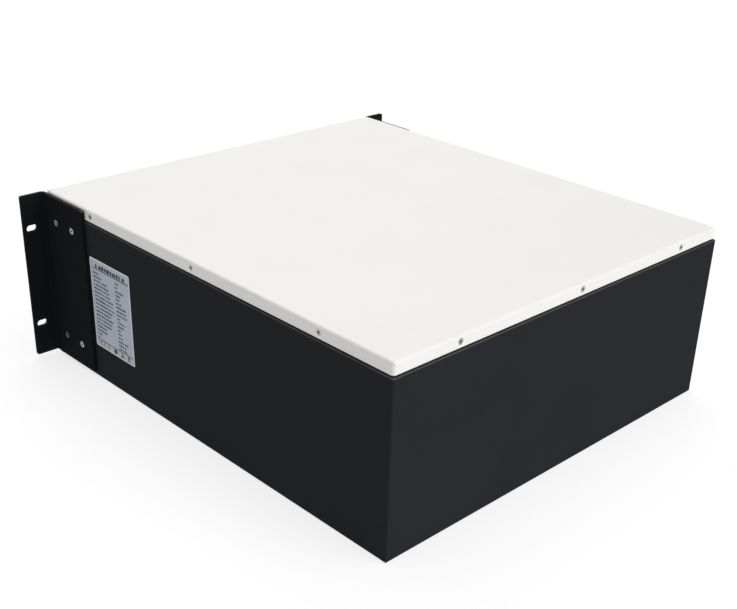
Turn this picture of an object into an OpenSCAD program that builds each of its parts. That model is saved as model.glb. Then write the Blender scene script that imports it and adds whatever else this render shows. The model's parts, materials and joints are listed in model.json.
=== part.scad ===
// Rack-mount lithium iron phosphate battery pack, 4 rack units high, 48 V class.
// Sixteen prismatic cells in two rows stand behind a front compartment that holds
// the battery management board, the breaker and the panel's own electronics.
// Millimetres. +Z is up, the front panel faces -Y, and the origin is the middle of
// the whole object's footprint, on the plane that the case stands on.

/* [Case] */
// Width of the case, between the side plates of the ears
case_w = 430; // [428:1:440]
// Depth from the front panel's face to the rear wall's face
case_d = 482; // [480:1:520]
// Height of the case with its cover on
case_h = 175.8; // [174:0.1:180]
// Thickness of the case's steel sheet
wall = 1.5; // [1.2:0.1:1.6]
// Thickness of the front panel
panel_t = 2; // [2:0.1:2.5]

/* [Cover] */
// Thickness of the cover's sheet
cover_t = 1.2; // [1:0.1:1.4]
// Height of the cover's skirt
skirt_h = 10.8; // [10.5:0.1:14]
// Outer radius of the bend between the cover's top and its skirt
cover_bend_r = 2.4; // [1.5:0.1:3]

/* [Rack ears] */
// Overall width across the ears: the 19 inch rack standard
rack_w = 482.6; // [482:0.1:483]
// Height of an ear
ear_h = 169; // [160:1:176]
// Length of an ear's side plate
ear_l = 73.5; // [65:0.5:90]
// Thickness of an ear
ear_t = 3.5; // [2:0.1:4]
// How far the ears stand in front of the panel's face
ear_forward = 3; // [0:0.1:3.5]
// Distance between slot centres across the rack
slot_pitch_x = 465.1; // [464:0.1:466]
// Distance between slot centres up an ear
slot_pitch_z = 101.6; // [88.9:12.7:114.3]
// Length of a slot
slot_l = 11.5; // [9:0.5:12]
// Width of a slot
slot_w = 6.8; // [6:0.1:7]

/* [Handles] */
// How far the handles reach in front of the panel
handle_reach = 38; // [34:1:48]
// Distance between a handle's two legs
handle_span = 100; // [90:1:110]
// Diameter of a handle's bar
handle_bar_d = 10; // [8:0.5:12]

/* [Cells] */
// Thickness of one cell
cell_t = 50; // [48:0.5:50]
// Width of one cell
cell_w = 160; // [150:1:160]
// Height of a cell's can
cell_can_h = 115; // [105:1:115]
// Cells in one row
cells_per_row = 8; // [8:1:8]

/* [Hidden] */
$fn = 48;

// Colours
black_paint = [0.05, 0.05, 0.055];
white_paint = [0.93, 0.93, 0.91];
steel = [0.72, 0.72, 0.74];
brass = [0.78, 0.62, 0.3];
copper = [0.8, 0.5, 0.32];

// Small clearances: cuts run past faces by eps, and moving or fitted pieces by fit_gap
eps = 0.5;
fit_gap = 0.05;

// Frame: y = 0 of the case is the front panel's face
face_y = handle_reach - (case_d + handle_reach) / 2;

// Case
skirt_gap = 1.6;
cover_inset = 1;
body_h = case_h - skirt_h - skirt_gap;
rim_inset = 2.6;
rim_top = case_h - cover_t - 1;
rim_w = case_w - 2 * rim_inset;
rim_d = case_d - 2 * rim_inset;
fold_r = 1.5;
case_bend_r = 1.8;
plan_r = 3.2;
opening_half_w = case_w / 2 - 16;
opening_z0 = 14;
opening_z1 = body_h - 14;
cover_screw_z = case_h - 5.6;
side_screw_ys = [79.5, 237, 400];
rear_screw_xs = [-155, -8, 143];
front_screw_xs = [-150, 0, 150];
panel_screw_x = case_w / 2 - 8;
panel_screw_zs = [18, 82, 146];

// Screws: radius of the shank, radius of a countersunk head
m3 = [1.5, 2.9];
m4 = [2, 3.2];
cover_screw_l = 7;
ear_screw_l = 8;
panel_screw_l = 7;

// Ears
ear_mid_z = 89.5;
ear_screw_ys = [22.5, 50.5];
ear_screw_zs = [28.5, 148.5];
ear_bend_in_r = 1;

// Rating label on the side wall
label_w = 66;
label_h = 93;
label_y = 107;
label_z = 83.5;
label_t = 0.2;

// Front panel layout, seen from the front
handle_x = case_w / 2 - 22;
handle_z = 82;
handle_bend_r = 12;
handle_foot_r = 7;
negative_x = -150;
positive_x = -105;
terminal_z = 42;
breaker_x = -127.5;
breaker_z = 108;
button_x = -55;
button_z = 108;
dip_x = -6;
dip_z = 84;
reset_z = 106;
jack_xs = [32, 56, 80, 104];
jack_z = 84;
lens_xs = [20, 34, 48, 62, 84, 98];
lens_z = 126;
relay_x = 134;
relay_z = 84;
earth_x = 160;
earth_z = 26;
vent_slots = 12;
vent_pitch = 8;
vent_x0 = -20;
vent_z = 34;

// Interface board, behind and parallel to the panel
board_front = 14;
board_t = 1.6;
board_x = [-22, 154];
board_z = [62, 138];
board_screw_inset = 6;

// Terminals: hinge axis of the cover, above and in front of the stud
terminal_size = 36;
hinge_up = 18.5;
hinge_out = 6.5;
stud_r = 4;
stud_out = 24;
stud_in = 24;
boss_r = 11;
earth_r = 3;
earth_shank_r = 2.65;
earth_free_from = 6.5;
earth_free = 9.5;

// Breaker
breaker_w = 36;
breaker_nose_h = 45;
breaker_body_h = 82;
breaker_nose_out = 3;
breaker_shoulder = 20;
breaker_depth = 64;
breaker_rest_angle = 40;
drum_r = 8;
drum_w = 25.6;
pole_x = 9;
cable_hole_y = 42;

// DIP switch
dip_pitch = 2.54;
dip_travel = 1.8;

// Cells
spacer_t = 0.5;
cell_pitch = cell_t + spacer_t;
row_half = (cells_per_row * cell_pitch + spacer_t) / 2;
cell_z0 = wall + 1;
front_row_y = 152;
row_gap = 6;
rear_row_y = front_row_y + cell_w + row_gap;
terminal_dy = 55;
boss_top = cell_z0 + cell_can_h + 3;
cell_stud_top = boss_top + 9;
rail_stud_xs = [-120, -40, 40, 120];
rail_stud_y = front_row_y - 14;
end_plate_t = 7;
end_plate_h = 128;
band_t = 1;
band_h = 16;
band_zs = [30, 90];
busbar_t = 2;
busbar_w = 16;
top_sheet_z = cell_z0 + end_plate_h;
top_sheet_t = 1.5;

// Battery management board, flat on the case's floor
bms_x = [-50, 182];
bms_y = [32, 120];
bms_z = 10;
bms_posts = [[-35, 60], [170, 60]];
switch_xs = [for (i = [0:9]) 2 + i * 14];
switch_ys = [52, 74];
heatsink_fins = 15;

// Cables: radius, and the points that each route passes through, in case coordinates
power_cable_r = 4.5;
loom_r = 3;
tap_r = 0.8;
loom_y = front_row_y + cell_w + row_gap / 2;
loom_z = top_sheet_z + top_sheet_t + loom_r;
positive_route = [
    [176.75, 332, 125], [176.75, 320, 127], [174, 307, 135], [170, 292, 140],
    [168, 274, 141], [168, 204, 141], [168, 154, 141], [150, 122, 146],
    [100, 98, 158], [0, 78, 163], [-90, 55, 165], [-126, 44, 163],
    [-136.5, 42, 155], [-136.5, 42, 147], [-136.5, 42, 138],
];
negative_route = [
    [176.75, 276, 125], [180, 264, 128], [186, 250, 136], [190, 234, 141],
    [190, 204, 141], [190, 164, 141], [190, 146, 136], [190, 137, 118],
    [188, 128, 90], [184, 120, 55], [178, 108, 32], [172, 94, 20],
    [170, 84, 17], [170, 76, 17], [170, 68, 17],
];
breaker_out_route = [
    [-118.5, 42, 138], [-118.5, 42, 147], [-116, 40, 156], [-104, 35, 162],
    [-90, 28, 152], [-84, 22, 125], [-86, 17, 92], [-95, 14.1, 70], [-105, 14.1, 54],
];
bms_out_route = [
    [-150, 14.1, 30], [-150, 15, 18], [-146, 22, 9], [-130, 34, 8],
    [-100, 46, 9], [-78, 56, 12], [-62, 60, 16.5], [-53, 60, 17], [-43, 60, 17],
];
jumper_route = [
    [-136.5, 42, 77], [-136.5, 42, 66], [-134, 42, 58], [-127.5, 42, 55],
    [-121, 42, 58], [-118.5, 42, 66], [-118.5, 42, 77],
];
loom_route = [
    [-178, loom_y, loom_z], [0, loom_y, loom_z], [136, loom_y, loom_z],
    [149, 308, loom_z], [151.5, 294, loom_z], [151.5, 204, loom_z], [151.5, 152, loom_z],
    [149, 142, 129], [140, 135, 100], [132, 131, 60], [124, 128, 28], [120, 120, 17.5],
    [120, 112, 17],
];
data_route = [
    [30, 37, 19], [30, 37, 25], [30, 35, 34], [30, 30, 43], [30, 21, 50],
    [30, 18, 57], [30, 18, 64],
];

// ---------------------------------------------------------------- frames

// Case coordinates: y runs back from the front panel's face.
module in_case() {
    translate([0, face_y, 0]) children();
}

// A place on the panel's face: local X is right, Y up and Z straight out of the panel.
module on_front(x, z) {
    translate([x, face_y, z]) rotate([90, 0, 0]) children();
}

// A place on a side wall, side 1 or -1: local Z is straight out of the wall.
module on_side(side, out, y, z) {
    translate([side * out, face_y + y, z]) rotate([0, side * 90, 0]) children();
}

// A place on the rear wall: local Z is straight out of the wall.
module on_rear(x, inset, z) {
    translate([x, face_y + case_d - inset, z]) rotate([-90, 0, 0]) children();
}

// ---------------------------------------------------------------- shapes

// A rectangle centred on the origin with round corners.
module rounded_square(w, h, r) {
    square([w - 2 * r, h], center = true);
    square([w, h - 2 * r], center = true);
    for (sx = [-1, 1], sy = [-1, 1])
        translate([sx * (w / 2 - r), sy * (h / 2 - r)]) circle(r = r);
}

// A rectangle standing on the x axis with its two upper corners rounded.
module arch(w, h, r) {
    translate([-w / 2, 0]) square([w, h - r]);
    translate([r - w / 2, 0]) square([w - 2 * r, h]);
    for (s = [-1, 1]) translate([s * (w / 2 - r), h - r]) circle(r = r);
}

// A block standing on z = 0 with round vertical edges and round top edges.
module soft_block(w, d, h, r_plan, r_top) {
    intersection() {
        linear_extrude(h) rounded_square(w, d, r_plan);
        rotate([90, 0, 0]) linear_extrude(d + 2, center = true) arch(w, h, r_top);
        rotate([90, 0, 90]) linear_extrude(w + 2, center = true) arch(d, h, r_top);
    }
}

// A block standing on z = 0 with all its edges round.
module soft_box(w, d, h, r_plan, r_bend) {
    intersection() {
        linear_extrude(h) rounded_square(w, d, r_plan);
        translate([0, 0, h / 2]) rotate([90, 0, 0])
            linear_extrude(d + 2, center = true) rounded_square(w, h, r_bend);
        translate([0, 0, h / 2]) rotate([90, 0, 90])
            linear_extrude(w + 2, center = true) rounded_square(d, h, r_bend);
    }
}

// A block between two corners.
module span(low, high) {
    translate(low) cube(high - low);
}

// What to cut from a square corner to leave radius r; the arc's centre is the origin.
module corner_cutter(r, h) {
    linear_extrude(h, center = true) difference() {
        square(r + eps);
        circle(r = r);
    }
}

// Cross recess in a screw head whose top is at z = 0: four wings round a deeper tapered pit.
module cross_recess(r) {
    wing_l = r * 1.16;
    wing_w = r * 0.25;
    wing_depth = r * 0.32;
    pit_depth = r * 0.6;
    for (a = [0, 90])
        rotate(a) translate([-wing_l / 2, -wing_w / 2, -wing_depth])
            cube([wing_l, wing_w, wing_depth + eps]);
    translate([0, 0, -pit_depth]) cylinder(h = pit_depth + eps, r1 = r * 0.14, r2 = r * 0.36);
}

// Countersunk screw with its head flush at z = 0, pointing down.
module countersunk_screw(size, l) {
    sink = size[1] - size[0];
    difference() {
        union() {
            translate([0, 0, -sink]) cylinder(h = sink, r1 = size[0], r2 = size[1]);
            translate([0, 0, -l]) cylinder(h = l - sink, r = size[0]);
        }
        cross_recess(size[1]);
    }
}

// The hole that a countersunk screw needs.
module countersunk_hole(size, l) {
    sink = size[1] - size[0];
    translate([0, 0, -sink]) cylinder(h = sink, r1 = size[0] + fit_gap, r2 = size[1] + fit_gap);
    translate([0, 0, -l]) cylinder(h = l + eps, r = size[0] + 0.15);
    cylinder(h = eps, r = size[1] + fit_gap);
}

// Round clinch nut lying on z = 0 and reaching down.
module clinch_nut(size) {
    h = size[0] * 1.5;
    translate([0, 0, -h]) difference() {
        cylinder(h = h, r = size[0] * 2);
        translate([0, 0, -eps]) cylinder(h = h + 2 * eps, r = size[0] + fit_gap);
    }
}

// Hexagon nut standing on z = 0.
module hex_nut(across_flats, h, bore_r) {
    difference() {
        cylinder(h = h, r = across_flats / sqrt(3), $fn = 6);
        translate([0, 0, -eps]) cylinder(h = h + 2 * eps, r = bore_r);
    }
}

// Flat washer standing on z = 0.
module washer(r, h, bore_r) {
    difference() {
        cylinder(h = h, r = r);
        translate([0, 0, -eps]) cylinder(h = h + 2 * eps, r = bore_r);
    }
}

// ---------------------------------------------------------------- swept cables

function unit(v) = v / norm(v);

// A smooth curve through the points p, with steps stretches between each pair.
function spline_at(a, b, c, d, t) =
    0.5 * (2 * b + (c - a) * t + (2 * a - 5 * b + 4 * c - d) * t * t
        + (3 * b - a - 3 * c + d) * t * t * t);
function smooth(p, steps) = [
    for (i = [0:len(p) - 2], s = [0:steps - 1])
        spline_at(i > 0 ? p[i - 1] : 2 * p[0] - p[1], p[i], p[i + 1],
            i < len(p) - 2 ? p[i + 2] : 2 * p[i + 1] - p[i], s / steps),
    p[len(p) - 1],
];

// Directions along the curve, and a normal at each point carried along without twist.
function tangents(p) = [
    for (i = [0:len(p) - 1]) unit(p[min(i + 1, len(p) - 1)] - p[max(i - 1, 0)])
];
function first_normal(t) = unit(cross(t, abs(t.z) < 0.9 ? [0, 0, 1] : [1, 0, 0]));
function normals(t) = [
    for (i = 0, n = first_normal(t[0]); i < len(t);
        i = i + 1, n = i < len(t) ? unit(n - (n * t[i]) * t[i]) : n) n
];

// A round tube of radius r through the points p.
module tube(p, r, steps = 3, sides = 10) {
    curve = smooth(p, steps);
    t = tangents(curve);
    n = normals(t);
    rings = len(curve);
    points = [
        for (i = [0:rings - 1], k = [0:sides - 1])
            let (a = 360 * k / sides)
            curve[i] + r * (cos(a) * n[i] + sin(a) * cross(t[i], n[i]))
    ];
    sides_faces = [
        for (i = [0:rings - 2], k = [0:sides - 1])
            let (a = i * sides + k, b = i * sides + (k + 1) % sides)
            each [[a, a + sides, b], [b, a + sides, b + sides]]
    ];
    start = [[for (k = [0:sides - 1]) k]];
    end = [[for (k = [sides - 1:-1:0]) (rings - 1) * sides + k]];
    polyhedron(points, concat(sides_faces, start, end));
}

// ---------------------------------------------------------------- case

module chassis() {
    inner_half = case_w / 2 - wall;
    color(black_paint) difference() {
        in_case() union() {
            translate([0, (panel_t + case_d) / 2, 0])
                soft_box(case_w, case_d - panel_t, body_h, fold_r, case_bend_r);
            translate([0, case_d / 2, body_h - wall])
                linear_extrude(rim_top - body_h + wall) rounded_square(rim_w, rim_d, fold_r);
        }
        in_case() {
            span([-inner_half, panel_t + wall, wall],
                [inner_half, case_d - wall, body_h - wall]);
            span([-rim_w / 2 + wall, rim_inset + wall, body_h - wall - eps],
                [rim_w / 2 - wall, case_d - rim_inset - wall, case_h]);
            span([-opening_half_w, 0, opening_z0],
                [opening_half_w, panel_t + wall + eps, opening_z1]);
        }
        for (side = [-1, 1], y = ear_screw_ys, z = ear_screw_zs)
            on_side(side, case_w / 2 + eps, y, z)
                translate([0, 0, -wall - 2 * eps]) cylinder(h = wall + 3 * eps, r = m4[0] + 0.15);
        each_cover_screw(rim_inset)
            translate([0, 0, -wall - eps]) cylinder(h = wall + 2 * eps, r = m3[0] + 0.15);
        for (side = [-1, 1], z = panel_screw_zs)
            on_front(side * panel_screw_x, z)
                translate([0, 0, -panel_t - wall - eps]) cylinder(h = wall + 2 * eps, r = m4[0] + 0.15);
    }
}

// Puts its children at every cover screw, on a face this far inside the case's own.
module each_cover_screw(inset) {
    for (side = [-1, 1], y = side_screw_ys)
        on_side(side, case_w / 2 - inset, y, cover_screw_z) children();
    for (x = rear_screw_xs) on_rear(x, inset, cover_screw_z) children();
    for (x = front_screw_xs) on_front(x, cover_screw_z) translate([0, 0, -inset]) children();
}

module top_cover() {
    w = case_w - 2 * cover_inset;
    d = case_d - 2 * cover_inset;
    color(white_paint) difference() {
        in_case() translate([0, case_d / 2, case_h - skirt_h]) difference() {
            soft_block(w, d, skirt_h, plan_r, cover_bend_r);
            translate([0, 0, -eps])
                soft_block(w - 2 * cover_t, d - 2 * cover_t, skirt_h - cover_t + eps,
                    plan_r - cover_t, cover_bend_r - cover_t);
        }
        each_cover_screw(cover_inset) countersunk_hole(m3, cover_t + eps);
    }
}

module cover_screws() {
    color(steel) each_cover_screw(cover_inset) countersunk_screw(m3, cover_screw_l);
}

module front_panel() {
    color(black_paint) difference() {
        on_front(0, 0) translate([0, 0, -panel_t]) linear_extrude(panel_t) difference() {
            translate([0, body_h / 2]) rounded_square(case_w, body_h, 1);
            panel_cutouts();
        }
        for (side = [-1, 1], z = panel_screw_zs)
            on_front(side * panel_screw_x, z) countersunk_hole(m4, panel_t + eps);
    }
}

// Everything that goes right through the front panel, drawn on its face.
module panel_cutouts() {
    for (side = [-1, 1], s = [-1, 1])
        translate([side * handle_x, handle_z + s * handle_span / 2]) circle(r = 2.7);
    for (x = [negative_x, positive_x]) translate([x, terminal_z]) circle(r = boss_r + 0.2);
    translate([breaker_x, breaker_z]) square([breaker_w + 1, breaker_nose_h + 1], center = true);
    translate([button_x, button_z]) circle(r = 8.05);
    translate([dip_x, reset_z]) circle(r = 1.9);
    translate([dip_x, dip_z]) square([13, 8.6], center = true);
    for (x = jack_xs) translate([x, jack_z]) square([16.6, 14.2], center = true);
    for (x = lens_xs) translate([x, lens_z]) circle(r = 1.6);
    translate([relay_x, relay_z]) square([21.4, 9.8], center = true);
    translate([earth_x, earth_z]) circle(r = 3.1);
    for (i = [0:vent_slots - 1]) translate([vent_x0 + i * vent_pitch, vent_z]) {
        square([3, 20], center = true);
        for (s = [-1, 1]) translate([0, s * 10]) circle(r = 1.5);
    }
}

module panel_screws() {
    color(steel) for (side = [-1, 1], z = panel_screw_zs)
        on_front(side * panel_screw_x, z) countersunk_screw(m4, panel_screw_l);
}

module clinch_nuts() {
    color(steel) {
        for (side = [-1, 1], y = ear_screw_ys, z = ear_screw_zs)
            on_side(side, case_w / 2 - wall, y, z) clinch_nut(m4);
        each_cover_screw(rim_inset + wall) clinch_nut(m3);
        for (side = [-1, 1], z = panel_screw_zs)
            on_front(side * panel_screw_x, z) translate([0, 0, -panel_t - wall]) clinch_nut(m4);
    }
}

module rating_label() {
    color([0.75, 0.77, 0.8]) on_side(1, case_w / 2, label_y, label_z)
        linear_extrude(label_t) rounded_square(label_h, label_w, 1.2);
}

// ---------------------------------------------------------------- rack ears

// The ear's bent section in plan, on the +X side.
module ear_plan() {
    out_r = ear_bend_in_r + ear_t;
    translate([case_w / 2, out_r]) square([ear_t, ear_l - out_r]);
    translate([case_w / 2 + out_r, 0]) square([(rack_w - case_w) / 2 - out_r, ear_t]);
    translate([case_w / 2 + out_r, out_r]) intersection() {
        difference() {
            circle(r = out_r);
            circle(r = ear_bend_in_r);
        }
        translate([-out_r, -out_r]) square(out_r);
    }
}

// The ear's own frame: y = 0 is its front face and z = 0 its middle.
module in_ear() {
    in_case() translate([0, -ear_forward, ear_mid_z]) children();
}

module right_hand_ear() {
    flange_r = 1.5;
    plate_r = 2;
    difference() {
        in_ear() translate([0, 0, -ear_h / 2]) linear_extrude(ear_h) ear_plan();
        for (s = [-1, 1]) {
            in_ear() translate([rack_w / 2 - flange_r, 0, s * (ear_h / 2 - flange_r)])
                rotate([90, 0, 0]) mirror([0, s < 0 ? 1 : 0, 0]) corner_cutter(flange_r, 4 * ear_t);
            in_ear() translate([case_w / 2, ear_l - plate_r, s * (ear_h / 2 - plate_r)])
                rotate([90, 0, 90]) mirror([0, s < 0 ? 1 : 0, 0]) corner_cutter(plate_r, 4 * ear_t);
            on_front(slot_pitch_x / 2, ear_mid_z + s * slot_pitch_z / 2)
                linear_extrude(4 * ear_t, center = true) {
                    square([slot_l - slot_w, slot_w], center = true);
                    for (e = [-1, 1]) translate([e * (slot_l - slot_w) / 2, 0]) circle(r = slot_w / 2);
                }
            for (y = ear_screw_ys)
                on_side(1, case_w / 2 + ear_t, y, ear_screw_zs[(s + 1) / 2])
                    countersunk_hole(m4, ear_t + eps);
        }
    }
}

module ear(side) {
    color(black_paint) mirror([side < 0 ? 1 : 0, 0, 0]) right_hand_ear();
}

module ear_screws() {
    color(steel) for (side = [-1, 1], y = ear_screw_ys, z = ear_screw_zs)
        on_side(side, case_w / 2 + ear_t, y, z) countersunk_screw(m4, ear_screw_l);
}

// ---------------------------------------------------------------- handles

module handle(side) {
    r = handle_bar_d / 2;
    bar_z = handle_reach - r;
    color([0.1, 0.1, 0.11]) on_front(side * handle_x, handle_z) {
        rotate([90, 0, 0]) translate([0, bar_z, 0])
            cylinder(h = handle_span - 2 * handle_bend_r, r = r, center = true);
        for (s = [-1, 1]) {
            translate([0, s * handle_span / 2, 0]) difference() {
                union() {
                    cylinder(h = bar_z - handle_bend_r, r = r);
                    cylinder(h = 2, r = handle_foot_r);
                }
                translate([0, 0, -eps]) cylinder(h = 13 + eps, r = 2.5);
            }
            translate([0, s * (handle_span / 2 - handle_bend_r), bar_z - handle_bend_r])
                mirror([0, s < 0 ? 1 : 0, 0]) rotate([90, 0, 90])
                    rotate_extrude(angle = 90) translate([handle_bend_r, 0]) circle(r = r);
        }
    }
}

module handle_screws() {
    color(steel) for (side = [-1, 1], s = [-1, 1])
        on_front(side * handle_x, handle_z + s * handle_span / 2) difference() {
            union() {
                translate([0, 0, -panel_t - 3]) cylinder(h = 3, r = 4.5);
                translate([0, 0, -panel_t]) cylinder(h = panel_t + 12, r = 2.45);
            }
            translate([0, 0, -panel_t - 3]) mirror([0, 0, 1]) cross_recess(4.5);
        }
}

// ---------------------------------------------------------------- power terminals

module terminal_base(x, paint) {
    color(paint) on_front(x, terminal_z) {
        difference() {
            union() {
                linear_extrude(3) rounded_square(terminal_size, terminal_size, 3);
                cylinder(h = 5.5, r = 10);
                translate([0, 0, -8]) cylinder(h = 9, r = boss_r);
            }
            translate([0, 0, -9]) cylinder(h = 16, r = stud_r + fit_gap);
        }
        for (s = [-1, 1]) {
            translate([s * 12.5 - 1.5, hinge_up - 3, 0]) cube([3, 6, hinge_out]);
            translate([s * 12.5 - 1.5, hinge_up, hinge_out]) rotate([0, 90, 0]) cylinder(h = 3, r = 3);
        }
        translate([-12.5, hinge_up, hinge_out]) rotate([0, 90, 0]) cylinder(h = 25, r = 1.5);
    }
}

module terminal_cover(x, paint) {
    shell = 1.6;
    knuckle = 10.4;
    back = 3.3;
    front = 28.6;
    top = hinge_up - 2;
    half = terminal_size / 2;
    color(paint) on_front(x, terminal_z) difference() {
        union() {
            difference() {
                translate([0, (top - half) / 2, back])
                    soft_block(terminal_size, top + half, front - back, 2, 2);
                span([shell - half, -half - eps, 0], [half - shell, top - shell, front - shell]);
            }
            translate([-knuckle, hinge_up, hinge_out]) rotate([0, 90, 0])
                cylinder(h = 2 * knuckle, r = 3);
        }
        translate([-half, hinge_up, hinge_out]) rotate([0, 90, 0])
            cylinder(h = terminal_size, r = 1.5 + fit_gap);
        for (s = [-1, 1])
            translate([s * (knuckle + half - shell) / 2, top, back + 3.5])
                cube([half - shell - knuckle, 8, 8], center = true);
    }
}

module terminal_studs() {
    color(brass) for (x = [negative_x, positive_x]) on_front(x, terminal_z)
        translate([0, 0, -stud_in]) cylinder(h = stud_in + stud_out, r = stud_r);
}

// Outside: a washer and a nut on the boss. Inside: a nut that clamps the cable's lug.
module terminal_nuts() {
    color(steel) for (x = [negative_x, positive_x]) on_front(x, terminal_z) {
        translate([0, 0, 5.5]) washer(8, 1.6, stud_r + fit_gap);
        translate([0, 0, 7.1]) hex_nut(13, 6.5, stud_r + fit_gap);
        translate([0, 0, -9.6]) washer(8, 1.6, stud_r + fit_gap);
        translate([0, 0, -18.1]) hex_nut(13, 6.5, stud_r + fit_gap);
    }
}

// The shank is thinner, as on a rolled thread, than the free end where the lug goes.
module earth_stud() {
    color(steel) on_front(earth_x, earth_z) {
        translate([0, 0, -panel_t - 3]) cylinder(h = 3, r = 6);
        translate([0, 0, -panel_t]) cylinder(h = panel_t + earth_free_from, r = earth_shank_r);
        translate([0, 0, earth_free_from]) cylinder(h = earth_free, r = earth_r);
        washer(6.5, 1.5, earth_r + fit_gap);
        translate([0, 0, 1.5]) hex_nut(10, 5, earth_r + fit_gap);
    }
}

// ---------------------------------------------------------------- breaker

module breaker_body() {
    half = breaker_w / 2;
    color([0.82, 0.82, 0.8]) on_front(breaker_x, breaker_z) difference() {
        union() {
            translate([0, 0, -breaker_shoulder - 1])
                soft_block(breaker_w, breaker_nose_h, breaker_shoulder + 1 + breaker_nose_out, 0.8, 1);
            translate([-half, -breaker_body_h / 2, -breaker_depth])
                cube([breaker_w, breaker_body_h, breaker_depth - breaker_shoulder]);
        }
        rotate([0, 90, 0]) cylinder(h = drum_w + 0.4, r = drum_r + 0.3, center = true);
        rotate([0, 90, 0]) cylinder(h = 31, r = 2 + fit_gap, center = true);
        for (sx = [-1, 1], sy = [-1, 1]) {
            translate([sx * pole_x, sy * 32, -breaker_shoulder - 10]) cylinder(h = 10 + eps, r = 3.4);
            translate([sx * pole_x, sy * (breaker_body_h / 2 - 6), -cable_hole_y])
                rotate([90, 0, 0]) cylinder(h = 14, r = 5, center = true);
        }
        translate([-half - eps, -17.75, -breaker_depth - eps]) cube([breaker_w + 2 * eps, 35.5, 3 + eps]);
        for (s = [-1, 1]) translate([-0.25, s * 16 - 5.5, breaker_nose_out - 0.6])
            cube([0.5, 11, 2]);
    }
}

module breaker_lever() {
    color([0.12, 0.2, 0.45]) on_front(breaker_x, breaker_z) {
        rotate([0, 90, 0]) cylinder(h = drum_w, r = drum_r, center = true);
        rotate([0, 90, 0]) cylinder(h = 30, r = 2, center = true);
        rotate([breaker_rest_angle, 0, 0]) {
            translate([-12, -2, 0]) cube([24, 4, 18]);
            translate([-12, 0, 18]) rotate([0, 90, 0]) cylinder(h = 24, r = 2);
        }
    }
}

// Steel angle on the floor with the top-hat rail that the breaker clips to.
module breaker_bracket() {
    x0 = breaker_x - 23;
    x1 = breaker_x + 23;
    color(steel) in_case() difference() {
        union() {
            span([x0, breaker_depth + 2, wall], [x1, breaker_depth + 4, 140]);
            span([x0, breaker_depth + 2, wall], [x1, 98, wall + 2]);
            span([x0, breaker_depth + 1, breaker_z - 13.5], [x1, breaker_depth + 2, breaker_z + 13.5]);
            for (s = [-1, 1]) {
                span([x0, breaker_depth - 3, breaker_z + s * 13 - 0.5],
                    [x1, breaker_depth + 2, breaker_z + s * 13 + 0.5]);
                span([x0, breaker_depth - 3, breaker_z + s * 15 - 2.5],
                    [x1, breaker_depth - 2, breaker_z + s * 15 + 2.5]);
            }
        }
        for (s = [-1, 1]) translate([breaker_x + s * 13, 84, 0]) cylinder(h = 8, r = 2.7);
    }
}

// ---------------------------------------------------------------- push buttons and DIP switch

module power_button_body() {
    color(steel) on_front(button_x, button_z) difference() {
        union() {
            cylinder(h = 1.6, r = 9.5);
            translate([0, 0, 1.6]) cylinder(h = 0.6, r1 = 9.5, r2 = 8.9);
            translate([0, 0, -24]) cylinder(h = 25, r = 7.9);
        }
        translate([0, 0, -6]) cylinder(h = 10, r = 6.15);
    }
}

module power_button_cap() {
    color([0.8, 0.8, 0.82]) on_front(button_x, button_z) {
        translate([0, 0, -3]) cylinder(h = 5.4, r = 6);
        translate([0, 0, 2.4]) cylinder(h = 0.4, r1 = 6, r2 = 5.6);
    }
}

module power_button_nut() {
    color(steel) on_front(button_x, button_z) translate([0, 0, -panel_t - 3]) hex_nut(19, 3, 8);
}

module reset_button() {
    color([0.75, 0.1, 0.1]) on_front(dip_x, reset_z)
        translate([0, 0, -12]) cylinder(h = 11.6, r = 1.5);
}

module dip_switch_body() {
    color([0.7, 0.08, 0.08]) on_front(dip_x, dip_z) difference() {
        span([-6.2, -4, -board_front], [6.2, 4, -0.8]);
        for (i = [0:3]) translate([(i - 1.5) * dip_pitch, 0, 0])
            span([-0.65, -2, -2.8], [0.65, 1.9, 0]);
    }
}

module dip_slider(n) {
    color("white") on_front(dip_x + (n - 2.5) * dip_pitch, dip_z)
        span([-0.55, -1.9, -2.6], [0.55, -0.1, -0.3]);
}

// ---------------------------------------------------------------- panel electronics

module network_jack(n) {
    color([0.07, 0.07, 0.07]) on_front(jack_xs[n - 1], jack_z) difference() {
        span([-7.7, -6.5, -board_front], [7.7, 6.5, 0.4]);
        span([-5.9, -1.6, -12], [5.9, 5.2, 1]);
        span([-3.2, -3.4, -12], [3.2, -1, 1]);
        span([-1.7, -4.8, -12], [1.7, -3, 1]);
    }
}

module jack_shields() {
    color(steel) for (x = jack_xs) on_front(x, jack_z)
        translate([0, 0, -13.5]) linear_extrude(14.1) difference() {
            square([16, 13.6], center = true);
            square([15.4, 13], center = true);
        }
}

// Eight slanting spring wires in the top of each jack.
module jack_contacts() {
    wire_pitch = 1.02;
    color([0.85, 0.68, 0.25]) for (x = jack_xs, i = [0:7]) on_front(x, jack_z)
        translate([(i - 3.5) * wire_pitch, 3.85, -11.7]) rotate([-7, 0, 0]) cylinder(h = 9, r = 0.22);
}

module light_pipes() {
    color([0.8, 0.95, 0.85]) for (x = lens_xs) on_front(x, lens_z) {
        translate([0, 0, -board_front]) cylinder(h = board_front + 0.6, r = 1.5);
        translate([0, 0, -0.7]) intersection() {
            sphere(r = 2);
            cylinder(h = 3, r = 1.5);
        }
    }
}

module relay_terminal_block() {
    color([0.1, 0.55, 0.3]) on_front(relay_x, relay_z) difference() {
        span([-10.3, -4.5, -board_front], [10.3, 4.5, 5]);
        for (i = [-1.5:1.5]) translate([i * 5.08, 0, 0]) {
            translate([0, -2, -4]) cylinder(h = 10, r = 1.3);
            translate([0, 2.2, 3.6]) cylinder(h = 3, r = 1.6);
        }
    }
}

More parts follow.
